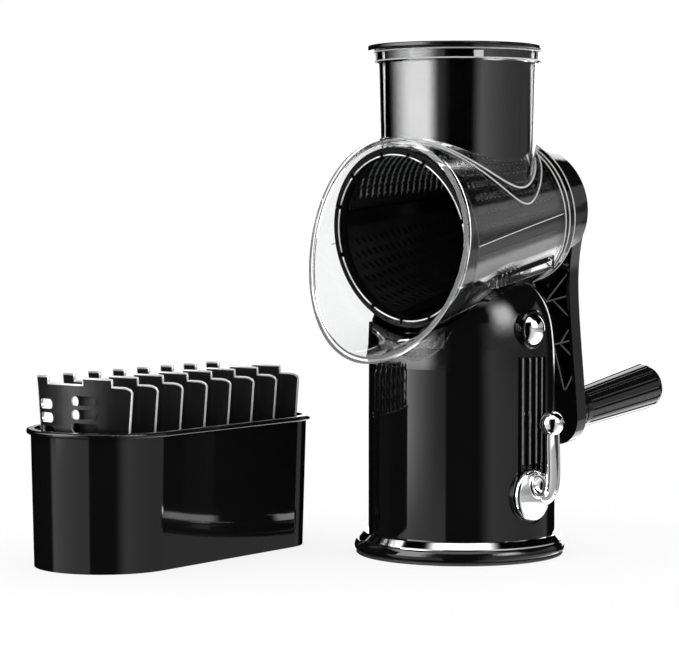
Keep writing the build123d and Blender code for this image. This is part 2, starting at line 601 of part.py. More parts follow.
# stored slicing plate: two columns of wide slots, an ear, a tab and a rounded shoulder on top
def stored_plate():
    """Plate with its wide end up and the lower ends of its side edges at y = 0, z = 0."""
    one = turned([(store_r1 - plate_t, 0), (store_r1, 0), (store_r0, store_len),
                  (store_r0 - plate_t, store_len)])
    one &= side_wedge(0, -1, 120)
    low = store_len - 3.7
    cuts = [block(-16.3, 10.8, -60, 0, low, store_len + 1), block(26.0, 60, -60, 0, low - 0.3, store_len + 1)]
    corner = block(31.0, 60, -60, 0, low - 4.3, store_len + 1)
    corner -= Pos(31.0, -30, low - 4.3) * Rot(90, 0, 0) * Cylinder(4.0, 80)
    cuts.append(corner)
    slot = Box(16.5, 14, 5.4)
    slot = fillet(slot.edges().filter_by(Axis.Y), 2.6)
    for row in range(9):
        for column, drop in ((13.5, 12.2), (-25.0, 14.8)):
            z = store_len - drop - 7.4 * row
            r = store_r1 + z * drum_slope
            cuts.append(Rot(0, 0, column) * Pos(0, -r, z) * slot)
    one = one - cuts
    lean = degrees(atan2((store_r0 - store_r1) * store_side, store_len))
    return Rot(-lean, 0, 0) * Pos(0, store_r1 * store_side, 0) * one


store_one = stored_plate()
for k in range(8):
    place = Pos(0, first_y + plate_pitch * k, slot_floor + gap)
    save("stored_plate_%d" % (k + 1), box_frame * (place * store_one))
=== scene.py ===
import json
from math import cos, radians, sin

import bpy
import numpy as np
from mathutils import Matrix, Vector


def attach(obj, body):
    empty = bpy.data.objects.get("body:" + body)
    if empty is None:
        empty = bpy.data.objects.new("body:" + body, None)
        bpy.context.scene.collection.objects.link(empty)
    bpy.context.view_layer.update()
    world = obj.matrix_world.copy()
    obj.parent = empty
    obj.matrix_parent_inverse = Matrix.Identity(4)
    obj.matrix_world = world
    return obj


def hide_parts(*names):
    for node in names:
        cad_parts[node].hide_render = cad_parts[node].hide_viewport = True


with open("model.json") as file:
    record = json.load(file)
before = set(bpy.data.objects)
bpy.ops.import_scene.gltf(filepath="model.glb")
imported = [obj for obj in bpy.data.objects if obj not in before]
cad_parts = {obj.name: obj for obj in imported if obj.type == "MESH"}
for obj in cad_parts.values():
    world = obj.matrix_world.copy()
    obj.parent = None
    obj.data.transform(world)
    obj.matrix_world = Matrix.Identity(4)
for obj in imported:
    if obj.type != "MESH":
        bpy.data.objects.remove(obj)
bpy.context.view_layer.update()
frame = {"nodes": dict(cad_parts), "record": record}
nodes = frame["nodes"]


# ---- camera
# The view is from the front right, slightly above the foot, through a long lens.
camera_azimuth = radians(43.1965)
camera_pitch = radians(2.8617)
camera_distance = 1.447196
camera_aside = (-0.06889, 0.12874)      # offset to the right and up, in the picture's plane
camera_lens = 133.34

back = Vector((sin(camera_azimuth) * cos(camera_pitch), -cos(camera_azimuth) * cos(camera_pitch),
               sin(camera_pitch)))
right = Vector((cos(camera_azimuth), sin(camera_azimuth), 0))
up = back.cross(right)
camera_data = bpy.data.cameras.new("camera")
camera_data.lens = camera_lens
camera_data.sensor_width = 36
camera_data.clip_end = 50
camera = bpy.data.objects.new("camera", camera_data)
bpy.context.scene.collection.objects.link(camera)
place = back * camera_distance + right * camera_aside[0] + up * camera_aside[1]
camera.matrix_world = Matrix(((right.x, up.x, back.x, place.x), (right.y, up.y, back.y, place.y),
                              (right.z, up.z, back.z, place.z), (0, 0, 0, 1)))
bpy.context.scene.camera = camera
bpy.context.scene.view_settings.view_transform = "Standard"


# ---- studio
# Cards of light stand round the machine in a dark room: bright ones at the left, dim wide ones
# at the right, small ones above and behind. Gloss shows them; the eye sees plain white instead.
class Wire:
    """A node's output that can be used in sums like a number."""

    def __init__(self, graph, socket):
        self.graph = graph
        self.socket = socket

    def _sum(self, operation, first, second=0.0):
        return self.graph.node("ShaderNodeMath", {"operation": operation}, {0: first, 1: second})

    def __add__(self, other):
        return self._sum("ADD", self, other)

    __radd__ = __add__

    def __mul__(self, other):
        return self._sum("MULTIPLY", self, other)

    __rmul__ = __mul__

    def __sub__(self, other):
        return self._sum("SUBTRACT", self, other)

    def __rsub__(self, other):
        return self._sum("SUBTRACT", other, self)

    def __gt__(self, other):
        return self._sum("GREATER_THAN", self, other)


class Graph:
    """The nodes of one material or of the world."""

    def __init__(self, owner):
        owner.use_nodes = True
        self.owner = owner
        self.tree = owner.node_tree
        self.tree.nodes.clear()

    def node(self, kind, settings=None, sockets=None, output=0):
        """Add a node: its settings are set first, then its sockets get values or links."""
        made = self.tree.nodes.new(kind)
        for name, value in (settings or {}).items():
            setattr(made, name, value)
        for name, value in (sockets or {}).items():
            target = made.inputs[name]
            if isinstance(value, Wire):
                self.tree.links.new(value.socket, target)
            elif hasattr(target, "default_value"):
                if target.type == "RGBA" and len(value) == 3:
                    value = (*value, 1)
                target.default_value = value
        return Wire(self, made.outputs[output])

    def smooth(self, value, low, high):
        """0 below low, 1 above high, and an S between them."""
        return self.node("ShaderNodeMapRange", {"interpolation_type": "SMOOTHSTEP"},
                         {"Value": value, "From Min": low, "From Max": high})

    def end(self, shader, surface="Surface", kind="ShaderNodeOutputMaterial"):
        made = self.tree.nodes.new(kind)
        self.tree.links.new(shader.socket, made.inputs[surface])


# each card, in degrees: from and to in azimuth (0 is the camera's side, right is positive), from
# and to in elevation, softness of each azimuth end, softness in elevation; strength at each end
cards = {
    "left_foot": ((-88, -22), (-50, -6.5), (8, 3), 3, (1.05, 0.65)),
    "left_low": ((-77.5, -22), (-6.5, -2.5), (5, 3), 3, (4.0, 0.38)),
    "left_high": ((-100, -42), (-2.5, 50), (50, 24), 3, (4.9, 6.4)),
    "left_tail": ((-50, -22), (-2.5, 50), (10, 20), 3, (0.5, 0.22)),
    "right_high": ((26, 128), (4, 20), (20, 10), 3, (0.5, 0.45)),
    "right_level": ((26, 128), (-4, 4), (20, 10), 3, (0.8, 0.12)),
    "right_low": ((28, 128), (-70, -4), (23, 10), 3, (0.8, 0.33)),
    "sweep": ((60, 185), (-80, -13.5), (40, 20), 3, (0.85, 0.85)),
    "sweep_edge": ((131, 185), (-80, -19.5), (3, 20), 2, (2.2, 2.2)),
    "soft_box": ((42, 70), (15.5, 39), (22, 22), 18, (10.5, 10.5)),
    "overhead": ((-60, 60), (46, 80), (30, 30), 12, (2.2, 2.2)),
    "rim": ((153, 185), (-4.0, 60), (6, 12), 2, (3.2, 2.6)),
}


def window(graph, value, low, high, soft_low, soft_high):
    """1 between low and high, falling to 0 over the soft widths outside them."""
    rise = graph.smooth(value, low - soft_low / 2, low + soft_low / 2)
    fall = graph.smooth(value, high - soft_high / 2, high + soft_high / 2)
    return rise * (1 - fall)


def make_studio():
    """Mirrored rays see the sum of all cards; every other ray sees plain white.

    Across a card the strength falls from its first value to its second with the square of the
    way that is left to the far end."""
    world = bpy.data.worlds.new("studio")
    bpy.context.scene.world = world
    graph = Graph(world)
    ray = graph.node("ShaderNodeTexCoord", output="Generated")
    parts = graph.tree.nodes.new("ShaderNodeSeparateXYZ")
    graph.tree.links.new(ray.socket, parts.inputs[0])
    x, y, z = (Wire(graph, parts.outputs[k]) for k in range(3))
    in_degrees = 57.29578
    seam = -130         # no card crosses this azimuth
    turn = graph.node("ShaderNodeMath", {"operation": "ARCTAN2"}, {0: x, 1: y * -1})
    azimuth = turn * in_degrees - np.degrees(camera_azimuth)
    azimuth = graph.node("ShaderNodeMath", {"operation": "WRAP"}, {0: azimuth, 1: seam + 360, 2: seam})
    height = graph.node("ShaderNodeMath", {"operation": "ARCSINE"}, {0: z}) * in_degrees
    light = 0.0
    for (a0, a1), (e0, e1), (s0, s1), soft, (p0, p1) in cards.values():
        rest = graph.node("ShaderNodeMapRange", None, {"Value": azimuth, "From Min": a0, "From Max": a1,
                                                      "To Min": 1.0, "To Max": 0.0})
        power = rest * rest * (p0 - p1) + p1
        across = window(graph, azimuth, a0, a1, s0, s1)
        upright = window(graph, height, e0, e1, soft, soft)
        light = power * across * upright + light
    mirrored = graph.node("ShaderNodeLightPath", output="Glossy Depth") > 0.5
    strength = mirrored * light + (1 - mirrored)
    shine = graph.node("ShaderNodeBackground", None, {"Color": (1, 1, 1), "Strength": strength})
    graph.end(shine, kind="ShaderNodeOutputWorld")


make_studio()


# ---- floor
# A white sweep. It keeps a faint shadow under the foot and the box, and mirrored rays pass
# through it, so that the gloss shows the cards below the horizon too.
def make_floor():
    half = 12.0
    corners = [(-half, -half, 0), (half, -half, 0), (half, half, 0), (-half, half, 0)]
    mesh = bpy.data.meshes.new("floor")
    mesh.from_pydata(corners, [], [(0, 1, 2, 3)])
    floor = bpy.data.objects.new("floor", mesh)
    bpy.context.scene.collection.objects.link(floor)
    graph = Graph(bpy.data.materials.new("sweep"))
    shade = graph.node("ShaderNodeBsdfDiffuse", None, {"Color": (0.2, 0.2, 0.2)})
    glow = graph.node("ShaderNodeEmission", None, {"Color": (1, 1, 1), "Strength": 0.81})
    both = graph.node("ShaderNodeAddShader", None, {0: shade, 1: glow})
    clear = graph.node("ShaderNodeBsdfTransparent")
    mirrored = graph.node("ShaderNodeLightPath", output="Glossy Depth") > 0.5
    graph.end(graph.node("ShaderNodeMixShader", None, {0: mirrored, 1: both, 2: clear}))
    mesh.materials.append(graph.owner)


make_floor()


# ---- moulded black plastic
# Gloss parts are injection moulded in polished tools: nearly black, with faint waviness, fine
# wipe marks and a little dust. Satin parts come from blasted tools and scatter the light.
def speckle(graph, scale, detail=3.0, roughness=0.5, stretch=(1, 1, 1)):
    """Noise over the piece, between 0 and 1, stretched along an axis where a share is small."""
    place = graph.node("ShaderNodeTexCoord", output="Object")
    place = graph.node("ShaderNodeMapping", None, {"Vector": place, "Scale": stretch})
    return graph.node("ShaderNodeTexNoise", None, {"Vector": place, "Scale": scale, "Detail": detail,
                                                  "Roughness": roughness})


def moulded(name, shade, rough, rough_spread, wave, grain, ior=1.5):
    graph = Graph(bpy.data.materials.new(name))
    broad = speckle(graph, 45.0)
    wipes = speckle(graph, 900.0, 2.0, 0.6, (1, 1, 0.08))
    fine = speckle(graph, 5200.0, 1.0)
    dust = graph.smooth(speckle(graph, 2300.0, 0.0), 0.79, 0.86)
    dusty = tuple(4 * k + 0.004 for k in shade)
    colour = graph.node("ShaderNodeMix", {"data_type": "RGBA"},
                        {"Factor": dust * 0.25 + broad * 0.1, 6: shade, 7: dusty}, 2)
    roughness = rough + (broad - 0.5) * rough_spread + (wipes - 0.5) * rough_spread * 0.8 + dust * 0.2
    bump = graph.node("ShaderNodeBump", None, {"Height": broad * wave + fine * grain, "Strength": 1.0,
                                              "Distance": 0.001})
    shader = graph.node("ShaderNodeBsdfPrincipled", None,
                        {"Base Color": colour, "Roughness": roughness, "Normal": bump, "IOR": ior})
    graph.end(shader)
    return graph.owner


gloss = moulded("gloss_black", (0.0035, 0.0035, 0.0038), 0.045, 0.03, 0.010, 0.0)
satin = moulded("satin_black", (0.010, 0.010, 0.0105), 0.30, 0.12, 0.02, 0.012)
worn = moulded("worn_black", (0.004, 0.004, 0.0042), 0.11, 0.05, 0.012, 0.004)
ring_black = moulded("ring_black", (0.003, 0.003, 0.0032), 0.2, 0.06, 0.012, 0.004, 1.24)


# ---- plated and machined metal
# The trim band, lever and button are chrome on moulded parts; screws, shafts and the spring
# are plain steel, turned or drawn, with fine marks round or along them.
def chrome_finish():
    graph = Graph(bpy.data.materials.new("chrome"))
    broad = speckle(graph, 60.0)
    wipes = speckle(graph, 1500.0, 2.0, 0.6, (0.1, 1, 1))
    colour = graph.node("ShaderNodeMix", {"data_type": "RGBA"},
                        {"Factor": broad, 6: (0.86, 0.87, 0.88), 7: (0.95, 0.95, 0.955)}, 2)
    bump = graph.node("ShaderNodeBump", None, {"Height": broad, "Strength": 1.0, "Distance": 0.00002})
    graph.end(graph.node("ShaderNodeBsdfPrincipled", None,
                         {"Base Color": colour, "Metallic": 1.0, "Roughness": 0.03 + wipes * 0.05,
                          "Normal": bump}))
    return graph.owner


def steel_finish():
    graph = Graph(bpy.data.materials.new("steel"))
    marks = speckle(graph, 700.0, 3.0, 0.6, (0.15, 1, 1))
    colour = graph.node("ShaderNodeMix", {"data_type": "RGBA"},
                        {"Factor": marks, 6: (0.42, 0.42, 0.43), 7: (0.68, 0.68, 0.69)}, 2)
    graph.end(graph.node("ShaderNodeBsdfPrincipled", None,
                         {"Base Color": colour, "Metallic": 1.0, "Roughness": 0.2 + marks * 0.25}))
    return graph.owner


def smoked_finish():
    """Dark chrome of the button's bezel."""
    graph = Graph(bpy.data.materials.new("smoked_chrome"))
    broad = speckle(graph, 80.0)
    colour = graph.node("ShaderNodeMix", {"data_type": "RGBA"},
                        {"Factor": broad, 6: (0.05, 0.05, 0.052), 7: (0.11, 0.11, 0.112)}, 2)
    graph.end(graph.node("ShaderNodeBsdfPrincipled", None,
                         {"Base Color": colour, "Metallic": 1.0, "Roughness": 0.06 + broad * 0.05}))
    return graph.owner


chrome = chrome_finish()
steel = steel_finish()
smoked = smoked_finish()


# ---- rubber of the suction foot
# Soft black rubber with a dull bloom.
def rubber_finish():
    graph = Graph(bpy.data.materials.new("rubber"))
    bloom = speckle(graph, 160.0, 4.0)
    fine = speckle(graph, 3500.0, 2.0)
    colour = graph.node("ShaderNodeMix", {"data_type": "RGBA"},
                        {"Factor": bloom, 6: (0.008, 0.008, 0.008), 7: (0.025, 0.025, 0.026)}, 2)
    bump = graph.node("ShaderNodeBump", None, {"Height": fine, "Strength": 0.4, "Distance": 0.0001})
    graph.end(graph.node("ShaderNodeBsdfPrincipled", None,
                         {"Base Color": colour, "Roughness": 0.5 + bloom * 0.25, "Normal": bump}))
    return graph.owner


rubber = rubber_finish()


# ---- clear housing plastic
# Water-clear moulding with a polished skin, slightly wavy where the plastic flowed.
def clear_finish():
    graph = Graph(bpy.data.materials.new("clear"))
    flow = speckle(graph, 30.0, 2.0)
    bump = graph.node("ShaderNodeBump", None, {"Height": flow, "Strength": 1.0, "Distance": 0.00002})
    graph.end(graph.node("ShaderNodeBsdfPrincipled", None,
                         {"Base Color": (0.985, 0.99, 0.99), "Roughness": 0.0, "IOR": 1.49,
                          "Transmission Weight": 1.0, "Normal": bump}))
    return graph.owner


clear = clear_finish()


# ---- coated steel of the plates
# Punched sheet with a thin satin black coat.
def coated_finish():
    graph = Graph(bpy.data.materials.new("coated_steel"))
    grain = speckle(graph, 2600.0, 2.0)
    broad = speckle(graph, 90.0)
    colour = graph.node("ShaderNodeMix", {"data_type": "RGBA"},
                        {"Factor": broad, 6: (0.006, 0.006, 0.0065), 7: (0.014, 0.014, 0.015)}, 2)
    bump = graph.node("ShaderNodeBump", None, {"Height": grain, "Strength": 0.3, "Distance": 0.00005})
    graph.end(graph.node("ShaderNodeBsdfPrincipled", None,
                         {"Base Color": colour, "Roughness": 0.2 + broad * 0.1, "Normal": bump}))
    return graph.owner


coated = coated_finish()


# ---- bare steel of cut edges, painted near white as a highlight
# The plates are punched after coating, so the cut edges are bare steel; their near-white colour is a
# painted highlight that stays bright under any light.
def bare_highlight_finish():
    graph = Graph(bpy.data.materials.new("bare_edge_highlight"))
    marks = speckle(graph, 1800.0, 2.0)
    # near-white colour: a painted highlight on the bare steel
    colour = graph.node("ShaderNodeMix", {"data_type": "RGBA"},
                        {"Factor": marks, 6: (0.72, 0.72, 0.73), 7: (0.95, 0.95, 0.95)}, 2)
    graph.end(graph.node("ShaderNodeBsdfPrincipled", None,
                         {"Base Color": colour, "Metallic": 0.4, "Roughness": 0.22 + marks * 0.15}))
    return graph.owner


bare_highlight = bare_highlight_finish()


# ---- finishes of the modelled pieces
# Each takes the finish of its material slot; the bezel, the grip and the drum's ring differ.
finish_of = {
    "gloss_black": gloss, "matte_black": satin, "chrome_trim": chrome, "rubber_black": rubber,
    "steel": steel, "black_steel": coated, "clear_plastic": clear,
}
for row in frame["record"]["subparts"]:
    node = nodes[row["node"]]
    node.data.materials.clear()
    node.data.materials.append(finish_of[row["material_slot"]])
nodes["lock_bezel"].data.materials.clear()
nodes["lock_bezel"].data.materials.append(smoked)
for name, finish in (("grip", worn), ("grip_plug", worn), ("drum_frame", ring_black)):
    nodes[name].data.materials.clear()
    nodes[name].data.materials.append(finish)


# ---- where the drum and the box stand
# Millimetres along each one's own axes go to metres in the shared frame.
drum_tilt = radians(8.5)
drum_height = 188.3             # the drum axis over the worktop, above the pedestal
box_turn = radians(6.6)
box_x, box_y = -110.0, -172.0   # middle of the box's round end
hopper_y = -2.0                 # the hopper's axis stands this far in front of the pedestal's middle
plate_taper = 11.6 / 91.4       # a plate's radius grows by this for each millimetre towards the mouth
plate_thickness = 1.3
stored_first = -18.0            # first stored plate, back from the middle of the round end
stored_pitch = 21.0


def at_drum(x, y, z):
    """z runs backwards along the drum axis, y down at right angles to it, x to the right."""
    x, y, z = np.broadcast_arrays(np.asarray(x, float), y, z)
    return np.stack([x, z * np.cos(drum_tilt) + y * np.sin(drum_tilt),
                     drum_height + z * np.sin(drum_tilt) - y * np.cos(drum_tilt)], -1) / 1000


def barrel_radius(u):
    """Outer radius of the clear barrel at u along the drum axis."""
    return 55.8 + (-51.3 - u) * 0.137


def drum_radius(u):
    """Outer radius of the drum's plates at u along the drum axis."""
    return 50.0 - (u + 47.0) * plate_taper


def new_piece(name, verts, faces, body, finish, replaces=(), smooth=True):
    """Make a piece from points in metres; it rides on body and takes the given finish."""
    mesh = bpy.data.meshes.new(name)
    mesh.from_pydata([tuple(v) for v in np.asarray(verts).reshape(-1, 3)], [], [tuple(f) for f in faces])
    mesh.polygons.foreach_set("use_smooth", [smooth] * len(mesh.polygons))
    mesh.materials.append(finish)
    made = bpy.data.objects.new(name, mesh)
    bpy.context.scene.collection.objects.link(made)
    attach(made, body)
    if replaces:
        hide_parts(*replaces)
    return made


def grid_faces(rows, columns, wrap_rows=False):
    """Quads over rings of points, each ring closed; the rows may close on themselves too."""
    r, c = np.meshgrid(np.arange(rows if wrap_rows else rows - 1), np.arange(columns), indexing="ij")
    r1, c1 = (r + 1) % rows, (c + 1) % columns
    quads = np.stack([r * columns + c, r * columns + c1, r1 * columns + c1, r1 * columns + c], -1)
    return quads.reshape(-1, 4).tolist()


def tube(path, radius, around, closed=False):
    """Points and faces of a round wire along a path in metres; radius is in millimetres.

    Each ring of points stands at right angles to the path, and its first direction is the one
    before it with its part along the path taken off, so that the wire does not twist."""
    path = np.asarray(path, float)
    ahead = np.roll(path, -1, 0) - np.roll(path, 1, 0)
    if not closed:
        ahead[0], ahead[-1] = path[1] - path[0], path[-1] - path[-2]
    ahead /= np.linalg.norm(ahead, axis=1)[:, None]
    side = np.cross(ahead[0], [0.31, 0.52, 0.79])
    rings = []
    turn = np.linspace(0, 2 * np.pi, around, endpoint=False)
    for point, way in zip(path, ahead):
        side = side - way * side.dot(way)
        side /= np.linalg.norm(side)
        other = np.cross(way, side)
        rings.append(point + radius / 1000 * (np.cos(turn)[:, None] * side + np.sin(turn)[:, None] * other))
    faces = grid_faces(len(path), around, wrap_rows=closed)
    if not closed:
        faces += [list(range(around))[::-1], [len(path) * around - around + k for k in range(around)]]
    return np.concatenate(rings), faces


def together(parts):
    """Join (points, faces) pairs into one pair."""
    verts, faces, count = [], [], 0
    for points, quads in parts:
        verts.append(points)
        faces += [[k + count for k in q] for q in quads]
        count += len(points)
    return np.concatenate(verts), faces


# ---- cutting plates
# Each plate keeps its modelled shape. Faces that don't look along the plate's radius are cut edges, and
# those are bare steel painted near white as a highlight: the rims of the slots, the sides, the ear and the
# tab.
def bare_highlight_edges(name, body, radial_of):
    """A face is a cut edge when the cosine between its normal and the plate's radius is small."""
    node = nodes[name]
    made = node.copy()
    made.data = node.data.copy()
    made.name = name + "_finished"
    bpy.context.scene.collection.objects.link(made)
    mesh = made.data
    mesh.materials.append(bare_highlight)
    centres = np.empty(len(mesh.polygons) * 3)
    normals = np.empty(len(mesh.polygons) * 3)
    mesh.polygons.foreach_get("center", centres)
    mesh.polygons.foreach_get("normal", normals)
    radial = radial_of(centres.reshape(-1, 3) * 1000)
    radial /= np.linalg.norm(radial, axis=1)[:, None]
    cut = np.abs((normals.reshape(-1, 3) * radial).sum(1)) < 0.6
    mesh.polygons.foreach_set("material_index", cut.astype(int))
    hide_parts(name)
    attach(made, body)


def from_drum_axis(p):
    """The part of p, seen from the drum axis, that is at right angles to the axis."""
    along = np.array([0, np.cos(drum_tilt), np.sin(drum_tilt)])
    p = p - np.array([0, 0, drum_height])
    return p - (p @ along)[:, None] * along


# Only the two upper drum plates get the white edges: a painted highlight where light falls on the top of
# the drum.
for k in (1, 4):
    bare_highlight_edges("drum_plate_%d" % k, "drum", from_drum_axis)
for k in range(8):
    reach = stored_first + stored_pitch * k + 39.0 * cos(radians(45))
    middle = np.array([box_x - reach * sin(box_turn), box_y + reach * cos(box_turn), 0])
    bare_highlight_edges("stored_plate_%d" % (k + 1), "stored_plate_%d" % (k + 1),
               lambda p, middle=middle: (p - middle) * np.array([1, 1, 0]))


# ---- rounded edges of the stored plates
# The upper outline and the sides are ground round, with a near-white wire along them as a painted
# highlight: ear, notch, tab, shoulder, side.
def plate_edge(k):
    """Wire along the outline of one stored plate, from the left foot over the top to the right foot.

    The outline is drawn flat and then bent: at each height the plate is a quarter of a circle,
    so the depth is the sagitta, the circle's radius less the root of its square less x squared."""
    top, low = 85.0, 81.3
    foot_radius, foot_height = 39.22, 19.0
    quarter = 0.70711           # cosine of half the plate's angle
    lean = np.arctan2((50 - foot_radius) * quarter, top)
    left = [(-100, z) for z in np.linspace(3.2, top, 16)]
    over = [(-34.4, top), (-26, top), (-16.3, top), (-16.3, low), (-3, low), (10.8, low), (10.8, top),
            (18, top), (26.0, top), (26.0, low - 0.3), (31.0, low - 0.3)]
    corner = [(31 + 4 * np.sin(a), low - 4.3 + 4 * np.cos(a)) for a in np.radians((22, 45, 68))]
    right_side = [(100, z) for z in np.linspace(low - 4.3, 3.2, 16)]
    line = np.array(left + over + corner + right_side)
    fine = [line[0]]
    for a, b in zip(line, line[1:]):
        steps = 1 if abs(a[0]) == 100 or abs(b[0]) == 100 else max(1, int(np.hypot(*(b - a)) / 1.5))
        fine += [a + (b - a) * (n + 1) / steps for n in range(steps)]
    x, z = np.array(fine).T
    r = foot_radius + z * plate_taper - plate_thickness / 2
    x = np.clip(x, -r * quarter, r * quarter)
    y = foot_radius * quarter - np.sqrt(r * r - x * x)
    y, z = y * np.cos(lean) + z * np.sin(lean), z * np.cos(lean) - y * np.sin(lean)
    y, z = y + stored_first + stored_pitch * k, z + foot_height
    return np.stack([box_x + x * cos(box_turn) - y * sin(box_turn),
                     box_y + x * sin(box_turn) + y * cos(box_turn), z], -1) / 1000


# painted highlight: a near-white wire along each stored plate's outline
for k in range(8):
    verts, faces = tube(plate_edge(k), 0.7, 8)
    new_piece("stored_edge_highlight_%d" % (k + 1), verts, faces, "stored_plate_%d" % (k + 1), bare_highlight)


# ---- teeth of the drum
# Over each slot of the grating stands a pressed hood, half an egg in shape, with the slot under it.
def slots(plates):
    """Turn about the drum axis, and place along it, of every slot in the given plates."""
    first, pitch, last = -38.3, 4.5, 36.2
    for plate in plates:
        for row in range(-3, 4):
            for k in range(17):
                u = first + pitch * k + (2.2 if row % 2 else 0)
                if u <= last:
                    yield radians(row * 9.2 + 57 + 90 * plate), u


def drum_teeth():
    """A hood's length, width and height are the half axes of an egg; it is bent round the drum."""
    parts = []
    slant = radians(122)
    half_width, half_length, height = 1.25, 2.8, 1.25
    rise, round_ = np.meshgrid(np.linspace(0, np.pi / 2, 6), np.linspace(0, 2 * np.pi, 14, endpoint=False),
                               indexing="ij")
    x = half_width * np.cos(rise) * np.cos(round_)
    z = half_length * np.cos(rise) * np.sin(round_)
    x, z = x * cos(slant) + z * sin(slant), z * cos(slant) - x * sin(slant)
    for turn, u in slots(range(4)):
        r = drum_radius(u + z) - 0.05 + height * np.sin(rise)
        around = turn + x / r
        points = at_drum(r * np.sin(around), -r * np.cos(around), u + z).reshape(-1, 3)
        parts.append((points, grid_faces(6, 14)))
    verts, faces = together(parts)
    new_piece("drum_teeth", verts, faces, "drum", coated)


drum_teeth()


# ---- burrs of the drum's slots, painted bright as glints
# A burr stands inwards aslant each slot of the two upper plates, painted near white as the glints of light
# on the top of the drum; the lower plates get none.
def burr_glint_finish():
    graph = Graph(bpy.data.materials.new("burr_painted_glint"))
    marks = speckle(graph, 2200.0, 2.0)
    colour = graph.node("ShaderNodeMix", {"data_type": "RGBA"},
                        # near-white colour: a painted glint
                        {"Factor": marks, 6: (0.80, 0.80, 0.81), 7: (0.97, 0.97, 0.97)}, 2)
    graph.end(graph.node("ShaderNodeBsdfPrincipled", None,
                         {"Base Color": colour, "Metallic": 1.0, "Roughness": 0.3 + marks * 0.15}))
    return graph.owner


def drum_burr_glints():
    parts = []
    slant = radians(100)
    along = np.linspace(-3.4, 3.4, 6)
    x, z = along * sin(slant), along * cos(slant)
    # only the two upper plates, where the light falls
    for turn, u in slots((0, 3)):
        r = drum_radius(u + z) - plate_thickness - 0.15
        around = turn + x / r
        parts.append(tube(at_drum(r * np.sin(around), -r * np.cos(around), u + z), 0.4, 6))
    verts, faces = together(parts)
    new_piece("drum_burr_glints", verts, faces, "drum", burr_glint_finish())


drum_burr_glints()


# ---- lip of the drum, painted as a bright highlight line
# A narrow steel lip lines the ring's inner edge, broken at each notch; its near-white colour is a painted
# highlight.
def drum_lip_highlight():
    radius, face = 47.0, -51.25
    notches = sorted(a % 360 for a in (-42, -10, 13.6, 28, 78, 112, 161, 187, 214, 258, 292))
    parts = []
    for a, b in zip(notches, notches[1:] + [notches[0] + 360]):
        turn = np.radians(np.linspace(a + 1.6, b - 1.6, max(4, int((b - a) / 3))))
        parts.append(tube(at_drum(radius * np.sin(turn), -radius * np.cos(turn), face), 0.45, 8))
    verts, faces = together(parts)
    new_piece("drum_lip_highlight", verts, faces, "drum", bare_highlight)


drum_lip_highlight()


# ---- painted highlights on the edges of the clear housing
# Painted highlights: near-white wires lie on the moulded edges of the clear plastic, so they shine white
# under any light. They run round the foot of the hopper, round the barrel's tail and along the parting line
# of the mould.
def edge_highlight_finish():
    graph = Graph(bpy.data.materials.new("painted_edge_highlight"))
    flow = speckle(graph, 400.0, 2.0)
    colour = graph.node("ShaderNodeMix", {"data_type": "RGBA"},
                        # near-white colour: a painted highlight
                        {"Factor": flow, 6: (0.80, 0.81, 0.81), 7: (0.97, 0.97, 0.97)}, 2)
    graph.end(graph.node("ShaderNodeBsdfPrincipled", None,
                         {"Base Color": colour, "Roughness": 0.12 + flow * 0.1, "Transmission Weight": 0.35,
                          "IOR": 1.49}))
    return graph.owner


painted_edge_highlight = edge_highlight_finish()


def hopper_foot(theta, out):
    """Points where a tube round the hopper, out millimetres off its wall, meets the barrel.

    The height is stepped until the distance from the drum axis equals the barrel's radius."""
    z = np.full_like(theta, 230.0)
    for _ in range(60):
        r = 44.2 + 0.025 * (z - 240) + out
        x, y = r * np.cos(theta), hopper_y + r * np.sin(theta)
        u = y * cos(drum_tilt) + (z - drum_height) * sin(drum_tilt)
        w = -y * sin(drum_tilt) + (z - drum_height) * cos(drum_tilt)
        z = z + (np.sqrt(np.maximum(barrel_radius(u) ** 2 - x ** 2, 0.5)) - w) * 0.8
    return np.stack([x, y, z], -1) / 1000


def around_hopper(r, turn, z):
    """Points at radius r and height z about the hopper's axis."""
    return np.stack([r * np.cos(turn), hopper_y + r * np.sin(turn), z], -1) / 1000


def housing_edge_highlights():
    """Rings follow the barrel's radius at their own place along it; the parting lines run level."""
    theta = np.linspace(0, 2 * np.pi, 160, endpoint=False)
    parts = [tube(hopper_foot(theta, 0.35), 0.6, 8, True), tube(hopper_foot(theta, 3.9), 0.5, 8, True)]
    for u, lift in ((43.0, 0.2), (47.3, 0.3), (52.3, 0.7)):
        r = barrel_radius(u) + lift
        parts.append(tube(at_drum(r * np.cos(theta), r * np.sin(theta), u), 0.45, 8, True))
    share = np.linspace(0, 1, 40)
    for side in (-1, 1):
        turn = np.radians(4.3 * (1 - share) + 0.1)
        u = -50.0 + 91.0 * share
        r = barrel_radius(u) + 0.05
        parts.append(tube(at_drum(side * r * np.cos(turn), r * np.sin(turn), u), 0.3, 6))
    verts, faces = together(parts)
    new_piece("housing_edge_highlights", verts, faces, "housing", painted_edge_highlight)
    # Two near-white rings round the collar and a near-white tab: painted highlights on clear plastic.
    collar = []
    for z, r in ((280.7, 47.35), (286.0, 47.6)):
        collar.append(tube(around_hopper(r, theta, np.full_like(theta, z)), 0.4, 8, True))
    turn = np.radians(-36) + np.array([-2.6, 2.6, 2.6, -2.6]) / 48.6
    level = np.array([280.9, 280.9, 284.6, 284.6])
    tab = np.concatenate([around_hopper(r, turn, level) for r in (46.9, 49.0)])
    sides = [[k, (k + 1) % 4, (k + 1) % 4 + 4, k + 4] for k in range(4)]
    collar.append((tab, [[3, 2, 1, 0], [4, 5, 6, 7]] + sides))
    verts, faces = together(collar)
    new_piece("collar_edge_highlights", verts, faces, "housing", painted_edge_highlight, smooth=False)


housing_edge_highlights()


